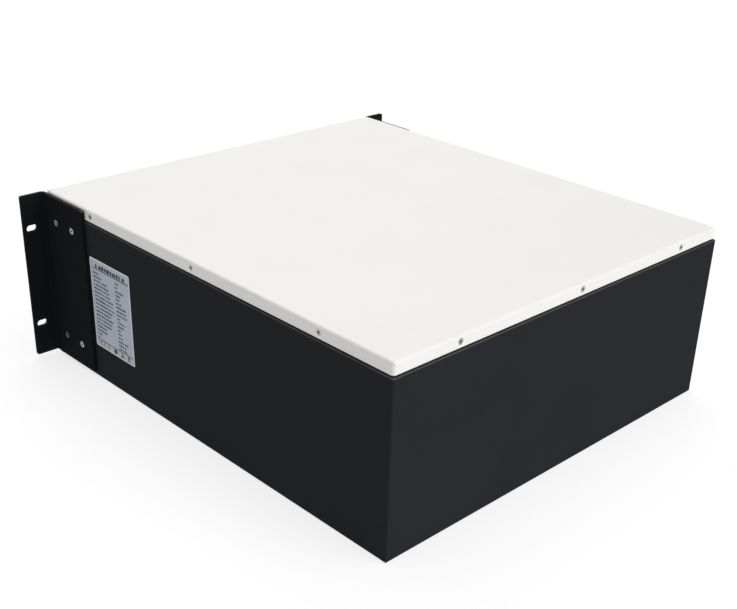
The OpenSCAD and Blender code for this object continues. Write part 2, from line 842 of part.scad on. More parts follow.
// Board, with the reset key's switch, two chips and the data plug's socket on it.
module interface_board() {
    color([0.05, 0.3, 0.12]) {
        in_case() difference() {
            span([board_x[0], board_front, board_z[0]],
                [board_x[1], board_front + board_t, board_z[1]]);
            for (x = board_screw_xs(), z = board_screw_zs())
                translate([x, board_front - 1, z]) rotate([-90, 0, 0]) cylinder(h = 4, r = 1.65);
        }
        on_front(dip_x, reset_z) span([-3, -3, -board_front - 0.1], [3, 3, 0.8 - board_front]);
        in_case() for (x = [60, 100])
            span([x - 6, board_front + board_t - 0.1, 94], [x + 6, board_front + board_t + 1.6, 106]);
        in_case() span([25, board_front + board_t - 0.1, 64], [35, 21, 72]);
    }
}
function board_screw_xs() = [board_x[0] + board_screw_inset, board_x[1] - board_screw_inset];
function board_screw_zs() = [board_z[0] + board_screw_inset, board_z[1] - board_screw_inset];

// Pillars and screws of the interface board, and the pillars under the management board.
module board_standoffs() {
    color(brass) in_case() {
        for (x = board_screw_xs(), z = board_screw_zs()) translate([x, 0, z]) rotate([-90, 0, 0]) {
            translate([0, 0, panel_t]) difference() {
                cylinder(h = board_front - panel_t, r = 3.2, $fn = 6);
                translate([0, 0, 4]) cylinder(h = 20, r = 1.5 + fit_gap);
            }
            translate([0, 0, board_front + board_t]) cylinder(h = 2, r = 2.8);
            translate([0, 0, board_front - 6]) cylinder(h = 6 + board_t, r = 1.5);
        }
        for (x = bms_screw_xs(), y = bms_screw_ys()) translate([x, y, 0]) {
            translate([0, 0, wall]) difference() {
                cylinder(h = bms_z - wall, r = 3.2, $fn = 6);
                translate([0, 0, 2]) cylinder(h = 20, r = 1.5 + fit_gap);
            }
            translate([0, 0, bms_z + board_t]) cylinder(h = 2, r = 2.8);
            translate([0, 0, bms_z - 6]) cylinder(h = 6 + board_t, r = 1.5);
        }
    }
}
function bms_screw_xs() = [bms_x[0] + board_screw_inset, bms_x[1] - board_screw_inset];
function bms_screw_ys() = [bms_y[0] + board_screw_inset, bms_y[1] - board_screw_inset];

// ---------------------------------------------------------------- cells

function cell_x(i) = (i - (cells_per_row - 1) / 2) * cell_pitch;

// One cell: wrapped can, lid, two terminal bosses with studs, and the vent.
module cell() {
    linear_extrude(cell_can_h) rounded_square(cell_t, cell_w, 3);
    translate([0, 0, cell_can_h - 1]) linear_extrude(1.6) rounded_square(cell_t - 4, cell_w - 4, 2);
    for (s = [-1, 1]) translate([0, s * terminal_dy, cell_can_h]) {
        cylinder(h = 3, r = 8);
        cylinder(h = 12, r = 3);
    }
    translate([0, 0, cell_can_h]) cylinder(h = 1, r = 7);
}

module cell_row(y0) {
    color([0.1, 0.35, 0.7]) in_case() for (i = [0:cells_per_row - 1])
        translate([cell_x(i), y0 + cell_w / 2, cell_z0]) cell();
}

module each_row() {
    for (y0 = [front_row_y, rear_row_y]) in_case() translate([0, y0, 0]) children();
}

module cell_spacers() {
    color([0.9, 0.88, 0.75]) each_row() for (i = [0:cells_per_row])
        translate([(i - cells_per_row / 2) * cell_pitch - spacer_t / 2, 2, cell_z0])
            cube([spacer_t, cell_w - 4, cell_can_h - 2]);
}

module end_plates() {
    color([0.75, 0.76, 0.78]) each_row() for (s = [-1, 1]) difference() {
        translate([s * (row_half + end_plate_t / 2), cell_w / 2, cell_z0])
            linear_extrude(end_plate_h) square([end_plate_t, cell_w], center = true);
        for (dy = [-50, 0, 50], z = [68, 124])
            translate([s * (row_half + end_plate_t), cell_w / 2 + dy, z]) rotate([0, 90, 0])
                cylinder(h = 6, r = 8, center = true);
    }
}

module compression_bands() {
    half = row_half + end_plate_t;
    color(steel) each_row() for (z = band_zs) difference() {
        span([-half - band_t, -band_t, z], [half + band_t, cell_w + band_t, z + band_h]);
        span([-half, 0, z - eps], [half, cell_w, z + band_h + eps]);
    }
}

// Flat link lying on z = 0 between two studs at a distance of l along X.
module link(l) {
    difference() {
        linear_extrude(busbar_t) {
            square([l, busbar_w], center = true);
            for (s = [-1, 1]) translate([s * l / 2, 0]) circle(r = busbar_w / 2);
        }
        for (s = [-1, 1]) translate([s * l / 2, 0, -eps]) cylinder(h = 4, r = 3.1);
    }
}

// In each row neighbours are joined at alternate ends, and one link joins the rows.
function link_y(row, i) =
    (row == 0 ? front_row_y : rear_row_y) + cell_w / 2
        + terminal_dy * ((i + row) % 2 == 0 ? -1 : 1);
module busbars() {
    color(copper) in_case() {
        for (row = [0, 1], i = [0:cells_per_row - 2])
            translate([cell_x(cells_per_row - 1 - i) - cell_pitch / 2, link_y(row, i), boss_top])
                link(cell_pitch);
        translate([cell_x(0), loom_y, boss_top]) rotate(90)
            link(cell_w + row_gap - 2 * terminal_dy);
    }
}

module busbar_nuts() {
    color(steel) in_case() for (y0 = [front_row_y, rear_row_y], i = [0:cells_per_row - 1], s = [-1, 1])
        translate([cell_x(i), y0 + cell_w / 2 + s * terminal_dy, boss_top + busbar_t]) {
            washer(7, 1, 3 + fit_gap);
            translate([0, 0, 1]) hex_nut(10, 4.5, 3 + fit_gap);
        }
}

// Sheet under the cells, turned up behind them against the rear wall.
module base_insulation() {
    back = rear_row_y + cell_w + band_t;
    color([0.85, 0.8, 0.6]) in_case() {
        span([-row_half - end_plate_t, front_row_y, wall], [row_half + end_plate_t, back, cell_z0]);
        span([-row_half - end_plate_t, back, wall], [row_half + end_plate_t, case_d - wall, 118]);
    }
}

// Sheet over the links, open at the +X edge where the power cables leave the cells.
module top_insulation() {
    color([0.8, 0.75, 0.45]) in_case() difference() {
        span([-row_half - end_plate_t, front_row_y, top_sheet_z],
            [row_half + end_plate_t, rear_row_y + cell_w, top_sheet_z + top_sheet_t]);
        span([160, 240, top_sheet_z - eps], [row_half - 2, 356, top_sheet_z + 4]);
        for (row = [0, 1], i = [0:cells_per_row - 2])
            translate([cell_x(cells_per_row - 1 - i) - cell_pitch / 2, link_y(row, i), top_sheet_z - eps])
                cylinder(h = 4, r = 2);
    }
}

module floor_rail() {
    color(steel) in_case() difference() {
        union() {
            span([-150, front_row_y - band_t - 2, wall], [150, front_row_y - band_t, 41.5]);
            span([-150, front_row_y - 23, wall], [150, front_row_y - band_t, wall + 2]);
        }
        for (x = rail_stud_xs) translate([x, rail_stud_y, 0]) cylinder(h = 8, r = 2.7);
    }
}

// Studs on the case's floor, each with a flange nut.
module floor_studs() {
    places = concat([for (x = rail_stud_xs) [x, rail_stud_y]],
        [for (s = [-1, 1]) [breaker_x + s * 13, 84]]);
    color(steel) in_case() for (p = places) translate([p[0], p[1], wall]) {
        cylinder(h = 12, r = 2.5);
        translate([0, 0, 2]) washer(6, 1.2, 2.5 + fit_gap);
        translate([0, 0, 3.2]) hex_nut(8, 4, 2.5 + fit_gap);
    }
}

// ---------------------------------------------------------------- battery management

// Board with its two power posts, the cell-sense socket and the data socket.
module bms_board() {
    top = bms_z + board_t;
    color([0.05, 0.25, 0.4]) in_case() {
        difference() {
            span([bms_x[0], bms_y[0], bms_z], [bms_x[1], bms_y[1], top]);
            for (x = bms_screw_xs(), y = bms_screw_ys())
                translate([x, y, bms_z - 1]) cylinder(h = 4, r = 1.65);
        }
        for (p = bms_posts) span([p[0] - 8, p[1] - 8, top - 0.1], [p[0] + 8, p[1] + 8, 22]);
        span([106, 102, top - 0.1], [134, 112, 21]);
        span([22, 33, top - 0.1], [38, 41, 19]);
        for (x = [-20, 0, 20, 40, 60]) translate([x, 104, top - 0.1]) cylinder(h = 12, r = 5);
    }
}

module bms_switches() {
    color([0.08, 0.08, 0.08]) in_case() for (x = switch_xs, y = switch_ys)
        span([x - 5, y - 7.5, bms_z + board_t], [x + 5, y + 7.5, 16]);
}

module bms_heatsink() {
    x0 = switch_xs[0] - 8;
    x1 = switch_xs[9] + 8;
    color([0.7, 0.71, 0.73]) in_case() {
        span([x0, 42, 16], [x1, 84, 20]);
        for (i = [0:heatsink_fins - 1])
            translate([x0 + i * (x1 - x0 - 1.6) / (heatsink_fins - 1), 42, 19.5]) cube([1.6, 42, 18.5]);
    }
}

// ---------------------------------------------------------------- wiring

// Ring lug on a cell's stud; its tongue reaches towards -Y under the cable.
module cell_lug(x, y) {
    translate([x, y, boss_top]) difference() {
        union() {
            cylinder(h = busbar_t, r = 8);
            translate([-5, -16, 0]) cube([10, 16, busbar_t]);
        }
        translate([0, 0, -eps]) cylinder(h = 4, r = 3.1);
    }
}

// Ring lug on a power terminal's inner end; its tongue reaches up or down.
module terminal_lug(x, up) {
    on_front(x, terminal_z) translate([0, 0, -11.6]) difference() {
        union() {
            cylinder(h = 2, r = 8);
            mirror([0, up ? 0 : 1, 0]) translate([-5, 0, 0]) cube([10, 16, 2]);
        }
        translate([0, 0, -eps]) cylinder(h = 4, r = stud_r + fit_gap);
    }
}

module positive_cable() {
    color([0.7, 0.1, 0.08]) in_case() {
        tube(positive_route, power_cable_r);
        cell_lug(cell_x(cells_per_row - 1), rear_row_y + cell_w / 2 - terminal_dy);
    }
}

module negative_cable() {
    color([0.06, 0.06, 0.06]) in_case() {
        tube(negative_route, power_cable_r);
        cell_lug(cell_x(cells_per_row - 1), front_row_y + cell_w / 2 + terminal_dy);
    }
}

module output_cables() {
    color([0.25, 0.06, 0.06]) {
        in_case() {
            tube(breaker_out_route, power_cable_r);
            tube(bms_out_route, power_cable_r);
            tube(jumper_route, power_cable_r);
        }
        terminal_lug(positive_x, true);
        terminal_lug(negative_x, false);
    }
}

// Loom over the cells with one thin tap down to each link, and the data lead.
module signal_harness() {
    color([0.2, 0.2, 0.22]) in_case() {
        tube(loom_route, loom_r, sides = 8);
        tube(data_route, 2, sides = 8);
        for (row = [0, 1], i = [0:cells_per_row - 2]) {
            x = cell_x(cells_per_row - 1 - i) - cell_pitch / 2;
            y = link_y(row, i);
            z = loom_z - loom_r + 1;
            translate([x, (y + loom_y) / 2, z]) rotate([90, 0, 0])
                cylinder(h = abs(y - loom_y), r = tap_r, center = true);
            translate([x, y, boss_top + busbar_t]) cylinder(h = z - boss_top - busbar_t, r = tap_r);
            translate([x, y, z]) sphere(r = tap_r);
        }
    }
}

// ---------------------------------------------------------------- nodes

chassis();
front_panel();
top_cover();
ear(-1);  // ear_left
ear(1);  // ear_right
ear_screws();
clinch_nuts();
cover_screws();
panel_screws();
rating_label();
handle(-1);  // handle_left
handle(1);  // handle_right
handle_screws();
terminal_base(negative_x, [0.06, 0.06, 0.06]);  // negative_terminal_base
terminal_base(positive_x, [0.65, 0.08, 0.06]);  // positive_terminal_base
terminal_cover(negative_x, [0.1, 0.1, 0.1]);  // negative_terminal_cover
terminal_cover(positive_x, [0.75, 0.1, 0.07]);  // positive_terminal_cover
terminal_studs();
terminal_nuts();
breaker_body();
breaker_lever();
breaker_bracket();
power_button_body();
power_button_cap();
power_button_nut();
reset_button();
dip_switch_body();
dip_slider(1);  // dip_slider_1
dip_slider(2);  // dip_slider_2
dip_slider(3);  // dip_slider_3
dip_slider(4);  // dip_slider_4
network_jack(1);  // network_jack_1
network_jack(2);  // network_jack_2
network_jack(3);  // network_jack_3
network_jack(4);  // network_jack_4
jack_shields();
jack_contacts();
light_pipes();
relay_terminal_block();
earth_stud();
interface_board();
board_standoffs();
cell_row(front_row_y);  // front_cell_row
cell_row(rear_row_y);  // rear_cell_row
cell_spacers();
end_plates();
compression_bands();
busbars();
busbar_nuts();
base_insulation();
top_insulation();
floor_rail();
floor_studs();
bms_board();
bms_switches();
bms_heatsink();
positive_cable();
negative_cable();
output_cables();
signal_harness();
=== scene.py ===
"""Rack-mount battery pack: materials, printed marks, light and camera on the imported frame."""

import json
import math
import random

import bmesh
import bpy
from mathutils import Euler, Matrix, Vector


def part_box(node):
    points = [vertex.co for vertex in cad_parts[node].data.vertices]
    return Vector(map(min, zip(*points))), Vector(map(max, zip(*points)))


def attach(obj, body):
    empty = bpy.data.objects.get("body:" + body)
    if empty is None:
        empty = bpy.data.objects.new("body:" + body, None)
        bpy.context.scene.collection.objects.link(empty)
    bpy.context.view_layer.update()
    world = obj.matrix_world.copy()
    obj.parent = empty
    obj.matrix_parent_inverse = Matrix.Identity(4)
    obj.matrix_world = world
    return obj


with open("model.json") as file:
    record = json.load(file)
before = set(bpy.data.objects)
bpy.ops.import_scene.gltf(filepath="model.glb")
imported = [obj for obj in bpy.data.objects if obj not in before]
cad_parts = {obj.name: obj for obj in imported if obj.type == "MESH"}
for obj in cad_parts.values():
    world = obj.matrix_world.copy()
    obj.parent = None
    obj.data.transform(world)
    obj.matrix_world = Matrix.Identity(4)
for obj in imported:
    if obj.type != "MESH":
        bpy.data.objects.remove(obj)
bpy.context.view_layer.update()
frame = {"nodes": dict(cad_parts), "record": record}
nodes = frame["nodes"]
MM = 0.001


# ---------------------------------------------------------------- camera

def make_camera():
    """The photograph's viewpoint: above the corner between the rear and the label side."""
    data = bpy.data.cameras.new("camera")
    data.lens = 56.81
    data.sensor_width = 36.0
    data.shift_x = -0.0169
    data.shift_y = 0.0815
    data.clip_start = 0.05
    camera = bpy.data.objects.new("camera", data)
    camera.location = (0.7404, 0.7707, 0.5561)
    camera.rotation_euler = Euler([math.radians(a) for a in (62.510, -1.856, 135.874)], "XYZ")
    bpy.context.collection.objects.link(camera)
    bpy.context.scene.camera = camera


make_camera()


# ---------------------------------------------------------------- materials

class Shader:
    """A Principled material under construction, with its textures in object coordinates."""

    def __init__(self, name, **constants):
        self.material = bpy.data.materials.new(name)
        self.material.use_nodes = True
        self.tree = self.material.node_tree
        self.bsdf = self.tree.nodes["Principled BSDF"]
        self.place = self.add("ShaderNodeTexCoord").outputs["Object"]
        for socket, value in constants.items():
            self.bsdf.inputs[socket.replace("_", " ")].default_value = value

    def add(self, kind, inputs=None, **settings):
        node = self.tree.nodes.new(kind)
        for key, value in settings.items():
            setattr(node, key, value)
        for key, value in (inputs or {}).items():
            if isinstance(value, bpy.types.NodeSocket):
                self.tree.links.new(value, node.inputs[key])
            else:
                node.inputs[key].default_value = value
        return node

    def stretched(self, scale, turn=(0, 0, 0)):
        """Object coordinates scaled along each axis."""
        node = self.add("ShaderNodeMapping", {"Vector": self.place})
        node.inputs["Scale"].default_value = scale
        node.inputs["Rotation"].default_value = turn
        return node.outputs["Vector"]

    def noise(self, size_mm, detail=3.0, place=None, rough=0.55):
        node = self.add(
            "ShaderNodeTexNoise",
            {"Vector": place or self.place, "Scale": 1 / (size_mm * MM), "Detail": detail,
             "Roughness": rough},
        )
        return node.outputs["Fac"]

    def remap(self, value, low, high, from_low=0.3, from_high=0.7):
        node = self.add(
            "ShaderNodeMapRange",
            {"Value": value, "From Min": from_low, "From Max": from_high, "To Min": low, "To Max": high},
        )
        return node.outputs["Result"]

    def openness(self, reach_mm):
        """How open the surface is within this reach: 1 on a free face, towards 0 inside a recess."""
        return self.add("ShaderNodeAmbientOcclusion", {"Distance": reach_mm * MM}, samples=8).outputs["AO"]

    def facing_up(self):
        """1 on faces that look straight up, 0 on upright ones."""
        normal = self.add("ShaderNodeNewGeometry").outputs["Normal"]
        return self.add("ShaderNodeSeparateXYZ", {"Vector": normal}).outputs["Z"]

    def math(self, operation, a, b):
        return self.add("ShaderNodeMath", {0: a, 1: b}, operation=operation).outputs[0]

    def mix(self, fac, a, b):
        node = self.add("ShaderNodeMix", data_type="RGBA")
        for socket, value in zip((node.inputs[0], node.inputs[6], node.inputs[7]), (fac, a, b)):
            if isinstance(value, bpy.types.NodeSocket):
                self.tree.links.new(value, socket)
            else:
                socket.default_value = value
        return node.outputs[2]

    def colour(self, socket):
        self.tree.links.new(socket, self.bsdf.inputs["Base Color"])

    def roughness(self, socket):
        self.tree.links.new(socket, self.bsdf.inputs["Roughness"])

    def bump(self, height, depth_mm, strength=1.0, under=None):
        """Adds a bump of this depth; under is the normal of a coarser bump below it."""
        inputs = {"Height": height, "Distance": depth_mm * MM, "Strength": strength}
        if under is not None:
            inputs["Normal"] = under
        normal = self.add("ShaderNodeBump", inputs).outputs["Normal"]
        self.tree.links.new(normal, self.bsdf.inputs["Normal"])
        return normal


def rgb(r, g, b):
    """An sRGB colour of 0 to 255 as linear RGBA."""
    def linear(c):
        c /= 255
        return c / 12.92 if c <= 0.04045 else ((c + 0.055) / 1.055) ** 2.4
    return (linear(r), linear(g), linear(b), 1.0)


def powder_coat(name, base, drift, rough, specular, grain_mm=0.55, painted_glint=None, **constants):
    """Baked powder paint: orange peel, faint cloudiness, uneven gloss, and a painted highlight that pales its
    rounded upper edges.
    """
    s = Shader(name, Specular_IOR_Level=specular, **constants)
    colour = s.mix(s.remap(s.noise(90, 4), 0, 1), base, drift)
    # painted highlight: rounded edges that face half up are mixed towards a pale grey, as if lit from above
    if painted_glint:
        up = s.facing_up()
        on_edge = s.math("MULTIPLY", s.remap(up, 0, 1, 0.3, 0.6), s.remap(up, 1, 0.3, 0.85, 1))
        colour = s.mix(s.math("MULTIPLY", on_edge, s.remap(s.noise(12, 4), 0.75, 1)), colour, painted_glint)
    s.colour(colour)
    fine = s.noise(grain_mm, 2)
    uneven = s.math("ADD", s.noise(35, 3), s.math("MULTIPLY", fine, 0.25))
    s.roughness(s.remap(uneven, rough - 0.05, rough + 0.06, 0.4, 0.85))
    under = s.bump(s.noise(grain_mm * 4, 2), 0.05, 0.35)
    s.bump(fine, 0.03, 0.5, under)
    return s.material


def plastic(name, base, drift, rough, grain_mm=0.3, depth_mm=0.02, specular=0.45):
    """Moulded plastic with a spark-eroded texture and uneven sheen."""
    s = Shader(name, Specular_IOR_Level=specular)
    s.colour(s.mix(s.remap(s.noise(9, 4), 0, 1), base, drift))
    s.roughness(s.remap(s.noise(4, 3), rough - 0.07, rough + 0.08))
    s.bump(s.noise(grain_mm, 3), depth_mm, 0.6)
    return s.material


def metal(name, base, drift, rough, stretch=(1, 1, 1), size_mm=0.6, depth_mm=0.01, recess_shade_mm=0):
    """Bare or plated metal, its grain drawn out as stretch says, with painted shade darkening its recesses
    within the given reach in mm.
    """
    s = Shader(name, Metallic=1.0)
    grain = s.noise(size_mm, 3, s.stretched(stretch))
    uneven = s.math("ADD", s.math("MULTIPLY", grain, 0.5), s.math("MULTIPLY", s.noise(7, 4), 0.5))
    colour = s.mix(s.remap(uneven, 0, 1), base, drift)
    if recess_shade_mm:
        # painted shade: where the AO node finds a recess, the colour is mixed towards near-black
        colour = s.mix(s.remap(s.openness(recess_shade_mm), 0, 1, 0.55, 0.95), rgb(30, 29, 28), colour)
    s.colour(colour)
    s.roughness(s.remap(grain, rough - 0.08, rough + 0.12))
    s.bump(grain, depth_mm, 0.5)
    return s.material


def circuit_board(name, mask, track):
    """Solder mask over copper tracks, with scattered pads."""
    s = Shader(name, Specular_IOR_Level=0.5, Coat_Weight=0.3, Coat_Roughness=0.15)
    runs = s.add("ShaderNodeTexBrick", {
        "Vector": s.place, "Scale": 260.0, "Mortar Size": 0.06,
        "Color1": (0, 0, 0, 1), "Color2": (0.1, 0.1, 0.1, 1), "Mortar": (1, 1, 1, 1),
    })
    pads = s.add("ShaderNodeTexVoronoi", {"Vector": s.place, "Scale": 330.0, "Randomness": 0.6})
    tin = s.math("LESS_THAN", pads.outputs["Distance"], 0.17)
    s.colour(s.mix(tin, s.mix(runs.outputs["Color"], mask, track), rgb(176, 176, 172)))
    s.roughness(s.remap(s.noise(3, 3), 0.25, 0.42))
    s.bump(s.math("ADD", runs.outputs["Fac"], tin), 0.035, 0.7)
    return s.material


def jacket(name, base, drift):
    """Silicone cable jacket: dull, slightly dusty."""
    s = Shader(name, Specular_IOR_Level=0.35)
    s.colour(s.mix(s.remap(s.noise(14, 5), 0, 1), base, drift))
    s.roughness(s.remap(s.noise(5, 3), 0.48, 0.66))
    s.bump(s.noise(0.8, 3), 0.03, 0.5)
    return s.material


def braid(name, base, drift):
    """Braided sleeve: two crossing sets of strands."""
    s = Shader(name, Specular_IOR_Level=0.4)
    crossing = [
        s.add("ShaderNodeTexWave", {
            "Vector": s.stretched((1, 1, 1), (0.6, 0.4, turn)), "Scale": 240.0,
            "Distortion": 0.6, "Detail": 1.0,
        }).outputs["Fac"]
        for turn in (0.8, -0.8)
    ]
    weave = s.math("MULTIPLY", *crossing)
    s.colour(s.mix(weave, base, drift))
    s.roughness(s.remap(weave, 0.55, 0.75, 0, 1))
    s.bump(weave, 0.15, 0.8)
    return s.material


def fibre_sheet(name, base, drift):
    """Glass-fibre laminate with its plain weave just showing."""
    s = Shader(name, Specular_IOR_Level=0.5)
    threads = [
        s.add("ShaderNodeTexWave", {"Vector": s.place, "Scale": 320.0, "Distortion": 0.3},
              bands_direction=axis).outputs["Fac"]
        for axis in ("X", "Y")
    ]
    weave = s.math("MULTIPLY", *threads)
    s.colour(s.mix(weave, base, s.mix(s.remap(s.noise(30, 3), 0, 1), drift, base)))
    s.roughness(s.remap(s.noise(6, 3), 0.35, 0.5))
    s.bump(weave, 0.04, 0.6)
    return s.material


def cell_wrap(name, base, drift):
    """Blue film shrunk over an aluminium can: glossy, with faint creases."""
    s = Shader(name, Specular_IOR_Level=0.5, Coat_Weight=0.5, Coat_Roughness=0.12)
    crease = s.noise(22, 6, s.stretched((1, 1, 0.25)), 0.7)
    s.colour(s.mix(s.remap(crease, 0, 1, 0.35, 0.65), base, drift))
    s.roughness(s.remap(s.noise(10, 3), 0.22, 0.36))
    s.bump(crease, 0.3, 0.5)
    return s.material


def clear_lens(name):
    """Clear acrylic light pipe with moulding ripple."""
    s = Shader(name, Transmission_Weight=0.85, IOR=1.49)
    ripple = s.noise(1.2, 2)
    s.colour(s.mix(s.remap(ripple, 0, 1), rgb(226, 240, 230), rgb(205, 226, 212)))
    s.roughness(s.remap(ripple, 0.05, 0.16))
    s.bump(ripple, 0.02, 0.4)
    return s.material


def film(name, base, drift, rough=0.42):
    """Printed polyester film of a label: satin, with faint paper grain."""
    s = Shader(name, Specular_IOR_Level=0.35)
    s.colour(s.mix(s.remap(s.noise(18, 4), 0, 1), base, drift))
    s.roughness(s.remap(s.noise(6, 3), rough - 0.05, rough + 0.07))
    s.bump(s.noise(0.4, 3), 0.01, 0.4)
    return s.material


# The case's coat has almost no gloss of its own, only a faint clear layer
matt = {"Coat_Weight": 0.02, "Coat_Roughness": 0.35}
# the pale grey of the painted highlight on the coat's rounded upper edges
glint_grey = rgb(76, 77, 80)
black_coat = powder_coat(
    "black_powder_coat", rgb(39, 40, 43), rgb(41, 42, 45), rough=0.5, specular=0.0, painted_glint=glint_grey, **matt)
ear_coat = powder_coat(
    "ear_powder_coat", rgb(25, 26, 29), rgb(27, 28, 31), rough=0.5, specular=0.0, painted_glint=glint_grey, **matt)
ears = ("ear_left", "ear_right")
materials = {
    "case_black": black_coat,
    "cover_white": powder_coat(
        "white_powder_coat", rgb(233, 232, 229), rgb(231, 230, 227), rough=0.5, specular=0.3),
    "zinc_steel": metal("zinc_plated_steel", rgb(196, 196, 190), rgb(150, 152, 150), 0.34, recess_shade_mm=2.5),
    "label_film": film("label_film", rgb(176, 183, 197), rgb(168, 175, 190)),
    "handle_black": powder_coat(
        "handle_coat", rgb(30, 30, 32), rgb(37, 37, 40), rough=0.36, specular=0.4, grain_mm=0.4),
    "black_insulator": plastic("black_insulator", rgb(27, 27, 28), rgb(36, 36, 38), 0.5),
    "red_insulator": plastic("red_insulator", rgb(174, 25, 21), rgb(168, 24, 20), 0.45),
    "brass": metal("nickelled_brass", rgb(206, 176, 112), rgb(176, 146, 88), 0.3, (1, 0.1, 1)),
    "breaker_plastic": plastic("breaker_plastic", rgb(206, 207, 202), rgb(196, 197, 192), 0.42),
    "lever_blue": plastic("lever_plastic", rgb(22, 48, 108), rgb(28, 56, 122), 0.38),
    "stainless": metal("brushed_stainless", rgb(198, 198, 198), rgb(160, 160, 162), 0.26, (0.12, 1, 1), 0.35),
    "button_red": plastic("red_moulding", rgb(168, 20, 24), rgb(150, 16, 20), 0.34),
    "white_plastic": plastic("white_moulding", rgb(232, 231, 226), rgb(222, 221, 215), 0.36),
    "black_plastic": plastic("black_moulding", rgb(24, 24, 25), rgb(32, 32, 34), 0.42),
    "gilt_contact": metal("gilt_contact", rgb(226, 184, 92), rgb(200, 158, 74), 0.22),
    "lens_clear": clear_lens("clear_lens"),
    "green_plastic": plastic("green_moulding", rgb(30, 128, 78), rgb(26, 112, 70), 0.4),
    "board_green": circuit_board("green_board", rgb(16, 78, 42), rgb(26, 104, 58)),
    "board_blue": circuit_board("blue_board", rgb(14, 50, 96), rgb(24, 72, 124)),
    "cell_blue": cell_wrap("cell_wrap", rgb(24, 84, 164), rgb(34, 102, 186)),
    "fibre_board": fibre_sheet("fibre_sheet", rgb(196, 188, 142), rgb(176, 168, 122)),
    "bare_aluminium": metal("milled_aluminium", rgb(206, 208, 212), rgb(176, 178, 184), 0.32, (0.1, 1, 1)),
    "copper": metal("bare_copper", rgb(204, 124, 84), rgb(166, 92, 62), 0.3, (0.15, 1, 1)),
    "cable_red": jacket("red_jacket", rgb(164, 28, 24), rgb(146, 26, 24)),
    "cable_black": jacket("black_jacket", rgb(28, 28, 29), rgb(38, 38, 40)),
    "loom_grey": braid("braided_sleeve", rgb(28, 28, 30), rgb(72, 72, 76)),
}

for part in frame["record"]["subparts"]:
    mesh = nodes[part["node"]].data
    mesh.materials.clear()
    mesh.materials.append(ear_coat if part["node"] in ears else materials[part["material_slot"]])


# ---------------------------------------------------------------- printed marks

class Print:
    """Flat printed shapes on one face, in millimetres right and up from its middle.

    at is that middle, and right and up are the directions of the print.
    """

    LIFT = 0.04 * MM

    def __init__(self, name, at, right, up):
        self.name = name
        self.right, self.up = Vector(right), Vector(up)
        self.at = Vector(at) + self.right.cross(self.up) * self.LIFT
        self.mesh = bmesh.new()
        self.inks = []

    def ink(self, material):
        if material not in self.inks:
            self.inks.append(material)
        return self.inks.index(material)

    def polygon(self, points, material):
        """A flat face with these corners, counter-clockwise."""
        corners = [
            self.mesh.verts.new(self.at + self.right * x * MM + self.up * y * MM)
            for x, y in points
        ]
        self.mesh.faces.new(corners).material_index = self.ink(material)

    def bar(self, x, y, w, h, material, slant=0.0):
        """A rectangle from (x, y), its top shifted by slant."""
        self.polygon([(x, y), (x + w, y), (x + w + slant, y + h), (x + slant, y + h)], material)

    def disc(self, x, y, r, material, steps=28):
        turn = 2 * math.pi / steps
        self.polygon(
            [(x + r * math.cos(i * turn), y + r * math.sin(i * turn)) for i in range(steps)],
            material,
        )

    def ring(self, x, y, r, width, material, start=0.0, sweep=360.0, steps=28):
        """An arc of this width, from start through sweep degrees."""
        for i in range(steps):
            a, b = (math.radians(start + sweep * (i + k) / steps) for k in (0, 1))
            self.polygon(
                [(x + q * math.cos(t), y + q * math.sin(t))
                 for q, t in ((r - width, a), (r, a), (r, b), (r - width, b))],
                material,
            )

    def dashes(self, x, y, length, height, material, source):
        """A run of short strokes that stands for a line of small print."""
        end = x + length
        while x < end - height:
            w = min(source.uniform(0.5, 1.5) * height, end - x)
            self.bar(x, y, w, height * source.uniform(0.8, 1.0), material)
            x += w + height * source.choice((0.2, 0.2, 0.24, 0.7))

    def done(self, body, slot):
        mesh = bpy.data.meshes.new(self.name)
        self.mesh.to_mesh(mesh)
        self.mesh.free()
        for material in self.inks:
            mesh.materials.append(material)
        piece = bpy.data.objects.new(self.name, mesh)
        bpy.context.collection.objects.link(piece)
        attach(piece, body)


black_ink = film("black_ink", rgb(14, 17, 30), rgb(22, 25, 38), 0.5)
# painted highlight: a near-white ink that stands for light caught along the label's edges
label_edge_highlight = film("label_edge_highlight", rgb(244, 245, 247), rgb(236, 238, 241), 0.5)
white_ink = film("white_ink", rgb(222, 222, 218), rgb(210, 210, 206), 0.5)
pink_ink = film("pink_ink", rgb(168, 128, 150), rgb(160, 120, 142), 0.5)
green_ink = film("green_ink", rgb(82, 112, 50), rgb(74, 102, 46), 0.5)
red_ink = film("red_ink", rgb(178, 34, 30), rgb(164, 30, 28), 0.5)


